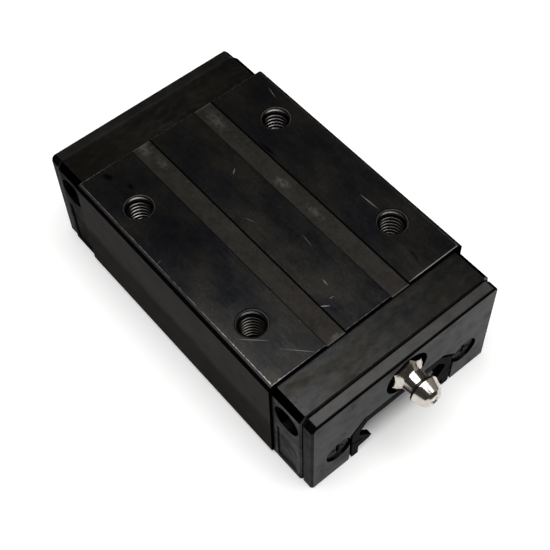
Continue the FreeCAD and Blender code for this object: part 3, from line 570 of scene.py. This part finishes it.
def moulded_seal(colours, sizes):
    """Smooth black plate with a faint sheen, round a dull rubber lip, with painted shade in slits, bevels
    and screw recesses.
    """
    finish = Finish("moulded_seal")
    cloud = finish.grain(4 * MM, detail=6.0, rough=0.6)
    pebble = finish.grain(0.18 * MM, detail=2.0)
    mark = finish.grain(1.0 * MM, detail=5.0, stretch=(1.0, 2.5, 1.0), rough=0.65, shift=3.0)

    # Lip round the rail way
    away = finish.magnitude(finish.y)
    along = finish.magnitude(finish.x)
    under = finish.minus(LIP_CROWN, finish.z)
    slant = finish.both(finish.minus(away, LIP_CROWN_HALF), LIP_SLOPE)
    inside = finish.least(finish.minus(LIP_HALF, away), under)
    inside = finish.least(inside, finish.minus(under, slant))
    lip = finish.ramp(inside, -0.1 * MM, 0.1 * MM)

    # Kinds of surface, with painted shade in slits, bevels and screw recesses
    sunk = finish.minus(SEAL_HIGH.x, along)
    below = finish.minus(SEAL_HIGH.z, finish.z)
    within = finish.least(finish.minus(SEAL_HIGH.y, away), below)
    deep = finish.both(finish.ramp(sunk, 0.08 * MM, 0.3 * MM), finish.ramp(within, 0.9 * MM, 1.1 * MM))
    rear = finish.ramp(finish.x, MM, -MM)
    rear_seam = finish.both(
        finish.ramp(finish.x, 0.0, -MM), finish.ramp(along, SEAL_LOW.x + 0.5 * MM, SEAL_LOW.x + 0.45 * MM),
    )
    bevel = finish.both(finish.slope(), finish.ramp(below, 0.08 * MM, 0.16 * MM))
    bevel = finish.both(bevel, finish.without(rear_seam))
    from_screw = finish.away_from(finish.minus(finish.z, SCREW_LEVEL), finish.minus(away, SCREW_ACROSS))
    ring = finish.ramp(from_screw, SCREW_RECESS + 0.16 * MM, SCREW_RECESS + 0.1 * MM)
    black = finish.either(finish.either(bevel, deep), ring)
    top = finish.either(finish.ramp(finish.facing[2], 0.9, 0.97), rear_seam)
    side = finish.ramp(finish.magnitude(finish.facing[1]), 0.6, 0.7)
    wiped = finish.ramp(finish.y, 8.0 * MM, SEAL_HIGH.y, 1.0, 0.4)

    colour = finish.blend(finish.ramp(cloud, 0.4, 0.6), shade(colours.seal, 0.75), shade(colours.seal, 1.25))
    colour = finish.blend(finish.ramp(mark, 0.58, 0.75, 0.0, 0.5), colour, shade(colours.seal, 1.9))
    colour = finish.blend(finish.ramp(mark, 0.3, 0.45, 0.5, 0.0), colour, shade(colours.seal, 0.5))
    rear_top = finish.blend(mark, colours.cap, shade(colours.cap_film, 1.6))
    colour = finish.blend(finish.both(top, rear), colour, rear_top)
    dust = finish.both(finish.dimmed(finish.ramp(mark, 0.35, 0.6, 0.5, 1.0), rear, 0.04), wiped)
    colour = finish.blend(finish.both(top, dust), colour, colours.seal_dust)
    colour = finish.blend(lip, colour, shade(colours.seal, 0.6))
    # Painted shade, near black, in slits, bevels and round the screw recesses
    colour = finish.blend(black, colour, shade(colours.seal, 0.1))
    rough = finish.plus(finish.ramp(cloud, 0.3, 0.7, 0.3, 0.45), finish.both(lip, 0.2))
    normal = finish.bump(pebble, 0.02 * MM, 0.25, finish.soft_edges(sizes.edge_softness))
    gloss = finish.plus(cloud, finish.ramp(mark, 0.3, 0.7, -0.05, 0.05))
    gloss = finish.ramp(gloss, 0.34, 0.66, 0.02, 0.1)
    gloss = finish.dimmed(gloss, finish.either(lip, side), 0.12)
    gloss = finish.both(gloss, finish.without(black))
    top_gloss = finish.both(finish.both(top, wiped), finish.ramp(rear, 0.0, 1.0, 0.3, 0.08))
    gloss = finish.plus(gloss, top_gloss)
    sheen = finish.blend(finish.ramp(cloud, 0.4, 0.6), (1.0, 0.95, 0.88), (0.92, 0.96, 1.0))
    return finish.set(colour, rough, None, normal, gloss, sheen)


def bright_nickel(colours):
    """Bright nickel plate over turned steel."""
    finish = Finish("bright_nickel", metallic=1.0)
    ring = finish.grain(0.12 * MM, detail=2.0, stretch=(1.0, 30.0, 30.0))
    tarnish = finish.grain(1.4 * MM, detail=4.0)
    colour = finish.blend(finish.ramp(tarnish, 0.4, 0.7), colours.nickel, shade(colours.nickel, 0.8))
    rough = finish.ramp(tarnish, 0.3, 0.7, 0.12, 0.2)
    return finish.set(colour, rough, None, finish.bump(ring, 0.004 * MM, 0.3))


def cut_thread(colours):
    """Thread with painted shade in its roots and thin crests painted bright as highlights, most towards the
    rear left and deeper down, whose first turn is only a pale painted highlight on its upward flank.
    """
    finish = Finish("cut_thread", metallic=1.0)
    mark = finish.grain(0.8 * MM, detail=4.0)
    lean = finish.painted_light_lean()
    away = finish.from_hole()
    # Crests, kept dark within about 1.7 mm of the top as painted shade under the mouth
    crest = finish.ramp(away, BOLT_HOLE - 0.42 * MM, BOLT_HOLE - 0.54 * MM)
    crest = finish.both(crest, finish.ramp(finish.z, -1.5 * MM, -1.9 * MM))
    spotted = finish.ramp(mark, 0.35, 0.65)
    # Painted highlight on the crests: spotted, stronger towards the rear left and deeper down, fading on the
    # far rear left and the front right
    bright = finish.blend(spotted, shade(colours.thread, 0.14), shade(colours.thread, 0.24))
    rubbed = finish.both(finish.ramp(lean, 0.05, 0.4), finish.ramp(finish.z, -2.0 * MM, -6.0 * MM, 0.5, 1.0))
    bright = finish.blend(rubbed, bright, shade(colours.thread, 1.2))
    bright = finish.blend(finish.ramp(lean, 0.55, 0.75), bright, shade(colours.thread, 0.06))
    bright = finish.blend(finish.ramp(lean, 0.0, -0.6, 0.0, 0.7), bright, shade(colours.thread, 0.1))
    # Painted shade in the roots, painted highlight on the crests
    colour = finish.blend(crest, shade(colours.land, 1.2), bright)
    # Painted highlight on the upward flank of the first turn, strongest towards the rear left
    lead = finish.both(finish.ramp(finish.z, -1.3 * MM, -1.1 * MM), finish.ramp(finish.facing[2], 0.3, 0.5))
    lead = finish.both(lead, finish.ramp(away, BOLT_HOLE - 0.3 * MM, BOLT_HOLE - 0.2 * MM))
    lead = finish.both(lead, finish.ramp(lean, -0.5, 0.3, 0.15, 1.0))
    lead = finish.both(lead, finish.ramp(lean, 0.75, 0.5, 0.1, 1.0))
    colour = finish.blend(lead, colour, shade(colours.bare_steel_and_highlight, 0.36))
    return finish.set(colour, finish.ramp(mark, 0.3, 0.7, 0.3, 0.42))


def black_oxide(colours):
    """Black oxide on screws and the plug, with rubbed edges."""
    finish = Finish("black_oxide")
    mark = finish.grain(0.6 * MM, detail=5.0)
    edge = finish.outer_edges(0.12 * MM)
    spotted = finish.ramp(mark, 0.35, 0.65)
    colour = finish.blend(spotted, shade(colours.oxide, 0.5), shade(colours.oxide, 1.6))
    colour = finish.blend(finish.both(edge, 0.6), colour, shade(colours.bare_steel_and_highlight, 0.2))
    rough = finish.ramp(mark, 0.3, 0.7, 0.28, 0.45)
    gloss = finish.ramp(mark, 0.4, 0.6, 0.01, 0.07)
    return finish.set(colour, rough, None, finish.bump(mark, 0.01 * MM, 0.3), gloss)


def polished_ball(colours):
    """Polished ball steel with a film of oil."""
    finish = Finish("polished_ball", metallic=1.0)
    film = finish.grain(1.1 * MM, detail=3.0)
    colour = finish.blend(finish.ramp(film, 0.35, 0.7), colours.ball, shade(colours.ball, 0.75))
    rough = finish.ramp(film, 0.3, 0.7, 0.06, 0.16)
    return finish.set(colour, rough, None, finish.bump(film, 0.002 * MM, 0.2))


def retainer_plastic(colours, sizes):
    """Dark grey moulding of the retainers and return guides."""
    finish = Finish("retainer_plastic")
    cloud = finish.grain(2.5 * MM, detail=4.0)
    cloudy = finish.ramp(cloud, 0.3, 0.7)
    colour = finish.blend(cloudy, shade(colours.retainer, 0.8), shade(colours.retainer, 1.2))
    normal = finish.bump(finish.grain(0.2 * MM), 0.02 * MM, 0.2, finish.soft_edges(sizes.edge_softness))
    return finish.set(colour, finish.ramp(cloud, 0.3, 0.7, 0.4, 0.55), None, normal)


def drawn_wire(colours):
    """Drawn wire of the small spring."""
    finish = Finish("drawn_wire", metallic=1.0)
    mark = finish.grain(0.1 * MM, detail=3.0)
    colour = finish.blend(mark, shade(colours.bare_steel_and_highlight, 0.7), shade(colours.bare_steel_and_highlight, 1.2))
    return finish.set(colour, finish.ramp(mark, 0.3, 0.7, 0.25, 0.4))


def dress(material, *names):
    """Give CAD nodes a material."""
    for name in names:
        slots = frame["nodes"][name].material_slots
        if not slots:
            frame["nodes"][name].data.materials.append(material)
        for slot in slots:
            slot.material = material


def named_like(*endings):
    """Names of the CAD nodes with one of these endings."""
    return [name for name in frame["nodes"] if name.endswith(endings)]


def keep(shape, name, material, crease=30.0):
    """Turn a finished bmesh into a piece of the object."""
    bmesh.ops.recalc_face_normals(shape, faces=shape.faces)
    mesh = bpy.data.meshes.new(name)
    shape.to_mesh(mesh)
    shape.free()
    mesh.polygons.foreach_set("use_smooth", [True] * len(mesh.polygons))
    mesh.set_sharp_from_angle(angle=math.radians(crease))
    mesh.materials.append(material)
    piece = bpy.data.objects.new(name, mesh)
    bpy.context.scene.collection.objects.link(piece)
    return piece


class GUIDE_OT_finish_carriage(bpy.types.Operator):
    """Finish the steel carriage"""

    bl_idname = "guide_block.finish_carriage"
    bl_label = "Finish carriage"

    def execute(self, context):
        scene = context.scene
        dress(carriage_steel(scene.guide_colours, scene.guide_sizes), "carriage")
        return {"FINISHED"}


class GUIDE_OT_cut_threads(bpy.types.Operator):
    """Cut a thread in each tapped hole"""

    bl_idname = "guide_block.cut_threads"
    bl_label = "Cut threads"

    TURN_STEPS = 40
    MOUTH = 0.12 * MM
    BITE = 0.02 * MM
    # Half widths of a thread at its foot and crest, in pitches
    FOOT = 0.46
    TIP = 0.07

    def execute(self, context):
        sizes = context.scene.guide_sizes
        material = cut_thread(context.scene.guide_colours)
        for end, x in (("front", BOLT_ALONG), ("rear", -BOLT_ALONG)):
            for side, y in (("left", -BOLT_ACROSS), ("right", BOLT_ACROSS)):
                shape = self.ridge(sizes)
                bmesh.ops.translate(shape, verts=shape.verts, vec=(x, y, 0.0))
                thread = keep(shape, f"{end}_{side}_thread", material)
                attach(thread, BLOCK)
        return {"FINISHED"}

    def ridge(self, sizes):
        """Helical ridge down a hole that is centred on the origin."""
        wall = BOLT_HOLE + self.BITE
        crest = wall - self.BITE - sizes.thread_height
        foot, tip = sizes.thread_pitch * self.FOOT, sizes.thread_pitch * self.TIP
        shape = bmesh.new()
        start = -self.MOUTH - foot
        first = [
            shape.verts.new((radius, 0.0, start + rise))
            for radius, rise in ((wall, -foot), (crest, -tip), (crest, tip), (wall, foot))
        ]
        loop = [shape.edges.new(pair) for pair in zip(first, first[1:] + first[:1])]
        turns = (sizes.thread_depth - self.MOUTH - 2 * foot) / sizes.thread_pitch
        steps = int(turns * self.TURN_STEPS)
        spun = bmesh.ops.spin(
            shape, geom=first + loop, cent=(0.0, 0.0, 0.0), axis=(0.0, 0.0, 1.0),
            dvec=(0.0, 0.0, -sizes.thread_pitch / self.TURN_STEPS),
            angle=-2.0 * math.pi * steps / self.TURN_STEPS, steps=steps, use_duplicate=False,
        )
        last = [item for item in spun["geom_last"] if isinstance(item, bmesh.types.BMVert)]
        for vert in first + last:
            flat = Vector((vert.co.x, vert.co.y, 0.0))
            if flat.length < wall - self.BITE:
                vert.co += flat.normalized() * (wall - self.BITE - flat.length)
        bmesh.ops.holes_fill(shape, edges=[edge for edge in shape.edges if edge.is_boundary], sides=4)
        return shape


class GUIDE_OT_finish_caps(bpy.types.Operator):
    """Finish the moulded end caps"""

    bl_idname = "guide_block.finish_caps"
    bl_label = "Finish end caps"

    def execute(self, context):
        scene = context.scene
        dress(moulded_cap(scene.guide_colours, scene.guide_sizes), *named_like("end_cap"))
        return {"FINISHED"}


class GUIDE_OT_finish_seals(bpy.types.Operator):
    """Finish the end seals and the bottom seals"""

    bl_idname = "guide_block.finish_seals"
    bl_label = "Finish seals"

    def execute(self, context):
        scene = context.scene
        dress(moulded_seal(scene.guide_colours, scene.guide_sizes), *named_like("end_seal", "bottom_seal"))
        return {"FINISHED"}


class GUIDE_OT_finish_fasteners(bpy.types.Operator):
    """Finish the cap screws and the plug in the unused grease port"""

    bl_idname = "guide_block.finish_fasteners"
    bl_label = "Finish screws and plug"

    def execute(self, context):
        dress(black_oxide(context.scene.guide_colours), *named_like("cap_screw", "port_plug"))
        return {"FINISHED"}


class GUIDE_OT_finish_balls(bpy.types.Operator):
    """Finish the balls, their retainers and the return guides"""

    bl_idname = "guide_block.finish_balls"
    bl_label = "Finish balls and retainers"

    def execute(self, context):
        scene = context.scene
        dress(polished_ball(scene.guide_colours), *named_like("_balls", "check_ball"))
        plastic = retainer_plastic(scene.guide_colours, scene.guide_sizes)
        dress(plastic, *named_like("ball_retainer", "return_guide"))
        return {"FINISHED"}


class GUIDE_OT_make_nipple(bpy.types.Operator):
    """Turn the grease nipple with rounded edges and coil its spring"""

    bl_idname = "guide_block.make_nipple"
    bl_label = "Make grease nipple"

    ROUND_STEPS = 96
    # Turned outline: distance along the axis from the cap's face, radius, and rounding of the corner
    OUTLINE = (
        (2.9, 2.9, 0.0), (3.1, 3.54, 0.0), (4.15, 2.6, 0.25), (6.3, 2.35, 0.1), (6.75, 3.12, 0.1),
        (7.2, 3.25, 0.1), (9.5, 2.32, 0.12), (10.15, 1.65, 0.2), (10.15, 1.12, 0.05), (9.9, 0.85, 0.05),
        (9.55, 0.85, 0.0), (9.55, 1.15, 0.0), (4.95, 1.15, 0.0), (4.95, 0.6, 0.0), (-5.5, 0.6, 0.0),
        (-5.5, 2.9, 0.2),
    )
    # Hexagon: half its width across flats, height, bevel with the angles of its cuts, and turn in degrees
    FLAT = 3.5 * MM
    HEX = 3.2 * MM
    CORNER_BEVEL = 0.7 * MM
    CORNER_CUTS = (-20.0, -10.0, 0.0, 10.0, 20.0)
    SCREWED_IN = 22.0
    # Spring: wire, pitch and radius of the coil
    WIRE = 0.2 * MM
    WIRE_SIDES = 8
    PITCH = 0.45 * MM
    COIL = 0.93 * MM
    COIL_STEPS = 24

    def execute(self, context):
        colours = context.scene.guide_colours
        shape = self.turned()
        hexagon = bpy.data.meshes.new("nipple_hexagon")
        self.hexagon().to_mesh(hexagon)
        shape.from_mesh(hexagon)
        bpy.data.meshes.remove(hexagon)
        centre = (CHECK_LOW + CHECK_HIGH) / 2
        bmesh.ops.translate(shape, verts=shape.verts, vec=(CAP_HIGH.x, centre.y, centre.z))
        piece = keep(shape, "turned_grease_nipple", bright_nickel(colours), crease=25.0)
        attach(piece, BLOCK)
        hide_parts("grease_nipple")
        wire = drawn_wire(colours)
        spring = keep(self.coil(centre), "coiled_nipple_spring", wire, crease=60.0)
        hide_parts("nipple_spring")
        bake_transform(spring)
        return {"FINISHED"}

    def turned(self):
        """Shank, neck and head, with the grease bore through them."""
        shape = bmesh.new()
        corners = [shape.verts.new((along * MM, 0.0, radius * MM)) for along, radius, _ in self.OUTLINE]
        for pair in zip(corners, corners[1:] + corners[:1]):
            shape.edges.new(pair)
        for vert, (_, _, rounding) in zip(corners, self.OUTLINE):
            if rounding:
                bmesh.ops.bevel(
                    shape, geom=[vert], offset=rounding * MM, offset_type="OFFSET", segments=5, profile=0.5,
                    affect="VERTICES", material=-1,
                )
        bmesh.ops.spin(
            shape, geom=shape.verts[:] + shape.edges[:], cent=(0.0, 0.0, 0.0), axis=(1.0, 0.0, 0.0),
            angle=2.0 * math.pi, steps=self.ROUND_STEPS, use_merge=True, use_duplicate=False,
        )
        return shape

    def coil(self, centre):
        """Spring between the end of the chamber and the check ball."""
        shape = bmesh.new()
        bmesh.ops.create_circle(shape, segments=self.WIRE_SIDES, radius=self.WIRE / 2)
        bmesh.ops.rotate(shape, verts=shape.verts, matrix=Matrix.Rotation(math.radians(90.0), 3, "X"))
        bmesh.ops.translate(shape, verts=shape.verts, vec=(SPRING_LOW.x + self.WIRE / 2, 0.0, self.COIL))
        turns = (SPRING_HIGH.x - SPRING_LOW.x - self.WIRE) / self.PITCH
        steps = int(turns * self.COIL_STEPS)
        bmesh.ops.spin(
            shape, geom=shape.verts[:] + shape.edges[:], cent=(0.0, 0.0, 0.0), axis=(1.0, 0.0, 0.0),
            dvec=(self.PITCH / self.COIL_STEPS, 0.0, 0.0), angle=2.0 * math.pi * steps / self.COIL_STEPS,
            steps=steps, use_duplicate=False,
        )
        ends = [edge for edge in shape.edges if edge.is_boundary]
        bmesh.ops.holes_fill(shape, edges=ends, sides=self.WIRE_SIDES)
        bmesh.ops.translate(shape, verts=shape.verts, vec=(0.0, centre.y, centre.z))
        return shape

    def hexagon(self):
        """Hexagon for the spanner, its outer corners cut back to a cone."""
        shape = bmesh.new()
        corner = self.FLAT / math.cos(math.radians(30.0))
        bmesh.ops.create_cone(
            shape, cap_ends=True, cap_tris=False, segments=6, radius1=corner, radius2=corner, depth=self.HEX,
        )
        bmesh.ops.translate(shape, verts=shape.verts, vec=(0.0, 0.0, self.HEX / 2))
        for number in range(6):
            for lean in self.CORNER_CUTS:
                angle = math.radians(60.0 * number + 90.0 + lean)
                out = Vector((math.cos(angle), math.sin(angle), 0.0))
                cut = bmesh.ops.bisect_plane(
                    shape, geom=shape.verts[:] + shape.edges[:] + shape.faces[:],
                    plane_co=out * self.FLAT + Vector((0.0, 0.0, self.HEX)),
                    plane_no=out * self.CORNER_BEVEL + Vector((0.0, 0.0, corner - self.FLAT)),
                    clear_outer=True,
                )
                rim = [item for item in cut["geom_cut"] if isinstance(item, bmesh.types.BMEdge)]
                bmesh.ops.contextual_create(shape, geom=rim)
        along_axis = Matrix.Rotation(math.radians(90.0), 3, "Y")
        turn = Matrix.Rotation(math.radians(self.SCREWED_IN), 3, "X") @ along_axis
        bmesh.ops.rotate(shape, verts=shape.verts, cent=(0.0, 0.0, 0.0), matrix=turn)
        return shape


class GUIDE_OT_set_stage(bpy.types.Operator):
    """Set the floor, the studio light and the camera"""

    bl_idname = "guide_block.set_stage"
    bl_label = "Set stage"

    FLOOR_HALF = 2.5
    FLOOR_GAP = 0.02 * MM
    SHADE_FADE = 4.0 * MM
    # Glow of the floor near the block and far from it
    NEAR, NEAR_GLOW = 0.25, 0.3
    FAR, FAR_GLOW = 0.7, 1.0
    # Room light at the horizon and overhead
    ROOM_LIGHT = (0.06, 0.05)
    ROOM_TINT = (1.0, 0.9, 0.81)
    # Lamps: name, place, size, power and colour
    LAMPS = (
        ("overhead_softbox", (0.024, -0.04, 0.62), 0.55, 4.7, WHITE),
        ("nipple_softbox", (0.33, 0.2, 0.6), 0.26, 0.6, WHITE),
        ("side_softbox", (0.45, 0.75, 0.5), 0.8, 0.6, (1.0, 0.97, 0.93)),
    )
    # Camera, with its turn in degrees and its lens in millimetres
    EYE = (0.1039128, -0.0789826, 0.1761927)
    TURN = (33.39912, 1.326622, 50.074303)
    LENS = 73.7766
    SENSOR = 36.0
    NEAREST = 0.005

    def execute(self, context):
        self.lay_floor(context)
        self.light_world(context)
        self.hang_lamps(context)
        self.set_camera(context)
        context.scene.view_settings.view_transform = "Standard"
        return {"FINISHED"}

    def lay_floor(self, context):
        """Wide floor just under the block."""
        shape = bmesh.new()
        bmesh.ops.create_grid(shape, x_segments=8, y_segments=8, size=self.FLOOR_HALF)
        bmesh.ops.translate(shape, verts=shape.verts, vec=(0.0, 0.0, CAD_BOX[0][2] - self.FLOOR_GAP))
        mesh = bpy.data.meshes.new("studio_floor")
        shape.to_mesh(mesh)
        shape.free()
        mesh.materials.append(self.floor_paint(context.scene.guide_colours.floor))
        floor = bpy.data.objects.new("studio_floor", mesh)
        context.scene.collection.objects.link(floor)

    def floor_paint(self, colour):
        """Pale paint that keeps the shadow, and glows for the eye and in gloss except under the block, where
        the missing glow paints a darker patch as shadow.
        """
        material = bpy.data.materials.new("studio_floor")
        material.use_nodes = True
        tree = Nodes(material.node_tree)
        tree.nodes.clear()
        rays = tree.nodes.new("ShaderNodeLightPath").outputs
        seen = tree.either(rays["Is Camera Ray"], rays["Is Glossy Ray"])
        seen = tree.either(seen, rays["Is Transmission Ray"])
        place = tree.nodes.new("ShaderNodeTexCoord").outputs["Object"]
        x, y, _ = tree.split(place)
        # Painted shadow: no glow inside the block's outline, so the floor there shows darker
        clear = tree.either(
            tree.ramp(tree.magnitude(x), SEAL_HIGH.x - self.SHADE_FADE, SEAL_HIGH.x),
            tree.ramp(tree.magnitude(y), SEAL_HIGH.y - self.SHADE_FADE, SEAL_HIGH.y),
        )
        distance = tree.nodes.new("ShaderNodeVectorMath")
        distance.operation = "LENGTH"
        tree.put(distance.inputs[0], place)
        far = tree.ramp(distance.outputs["Value"], self.NEAR, self.FAR, self.NEAR_GLOW, self.FAR_GLOW)
        paint = tree.nodes.new("ShaderNodeBsdfDiffuse")
        tree.put(paint.inputs["Color"], colour)
        glow = tree.nodes.new("ShaderNodeEmission")
        tree.put(glow.inputs["Color"], WHITE)
        tree.put(glow.inputs["Strength"], tree.both(tree.both(seen, clear), far))
        total = tree.nodes.new("ShaderNodeAddShader")
        tree.put(total.inputs[0], paint.outputs[0])
        tree.put(total.inputs[1], glow.outputs[0])
        output = tree.nodes.new("ShaderNodeOutputMaterial")
        tree.put(output.inputs["Surface"], total.outputs[0])
        return material

    def light_world(self, context):
        """Dim warm room that shows white to the eye."""
        world = bpy.data.worlds.new("studio_room")
        context.scene.world = world
        world.use_nodes = True
        tree = Nodes(world.node_tree)
        _, _, up = tree.split(tree.nodes.new("ShaderNodeTexCoord").outputs["Generated"])
        light = tree.ramp(up, 0.0, 1.0, *self.ROOM_LIGHT)
        seen = tree.nodes.new("ShaderNodeLightPath").outputs["Is Camera Ray"]
        room = tree.nodes["Background"]
        tree.put(room.inputs["Strength"], tree.ramp(seen, 0.0, 1.0, light, 1.0))
        tree.put(room.inputs["Color"], tree.blend(seen, self.ROOM_TINT, WHITE))

    def hang_lamps(self, context):
        """Large overhead softbox, a small one over the nipple and a dim one to its right."""
        for name, place, size, power, colour in self.LAMPS:
            lamp = bpy.data.lights.new(name, "AREA")
            lamp.shape = "SQUARE"
            lamp.size = size
            lamp.energy = power
            lamp.color = colour
            stand = bpy.data.objects.new(name, lamp)
            context.scene.collection.objects.link(stand)
            stand.location = place
            stand.rotation_euler = Vector(place).to_track_quat("Z", "Y").to_euler()

    def set_camera(self, context):
        """Camera at the photograph's viewing angle, for a square picture."""
        camera = bpy.data.cameras.new("photo_camera")
        camera.sensor_fit = "HORIZONTAL"
        camera.sensor_width = self.SENSOR
        camera.lens = self.LENS
        camera.clip_start = self.NEAREST
        eye = bpy.data.objects.new("photo_camera", camera)
        context.scene.collection.objects.link(eye)
        eye.location = self.EYE
        eye.rotation_euler = Euler([math.radians(angle) for angle in self.TURN], "XYZ")
        context.scene.camera = eye


class GUIDE_PT_panel(bpy.types.Panel):
    """Steps that dress the guide block"""

    bl_idname = "GUIDE_PT_panel"
    bl_label = "Guide block"
    bl_space_type = "VIEW_3D"
    bl_region_type = "UI"
    bl_category = "Guide block"

    def draw(self, context):
        for group in (context.scene.guide_colours, context.scene.guide_sizes):
            for name in group.__annotations__:
                self.layout.prop(group, name)
        for step in STEPS:
            self.layout.operator(step.bl_idname)


STEPS = (
    GUIDE_OT_set_stage,
    GUIDE_OT_finish_carriage,
    GUIDE_OT_cut_threads,
    GUIDE_OT_finish_caps,
    GUIDE_OT_finish_seals,
    GUIDE_OT_finish_fasteners,
    GUIDE_OT_finish_balls,
    GUIDE_OT_make_nipple,
)
CLASSES = (GuideBlockColours, GuideBlockSizes, *STEPS, GUIDE_PT_panel)


def register():
    """Register the classes and the properties they read."""
    for item in CLASSES:
        bpy.utils.register_class(item)
    bpy.types.Scene.guide_colours = bpy.props.PointerProperty(type=GuideBlockColours)
    bpy.types.Scene.guide_sizes = bpy.props.PointerProperty(type=GuideBlockSizes)


def unregister():
    """Take the properties and the classes away again."""
    del bpy.types.Scene.guide_sizes
    del bpy.types.Scene.guide_colours
    for item in reversed(CLASSES):
        bpy.utils.unregister_class(item)


def main():
    """Dress the block."""
    register()
    for step in STEPS:
        family, name = step.bl_idname.split(".")
        getattr(getattr(bpy.ops, family), name)()


if __name__ == "__main__":
    main()
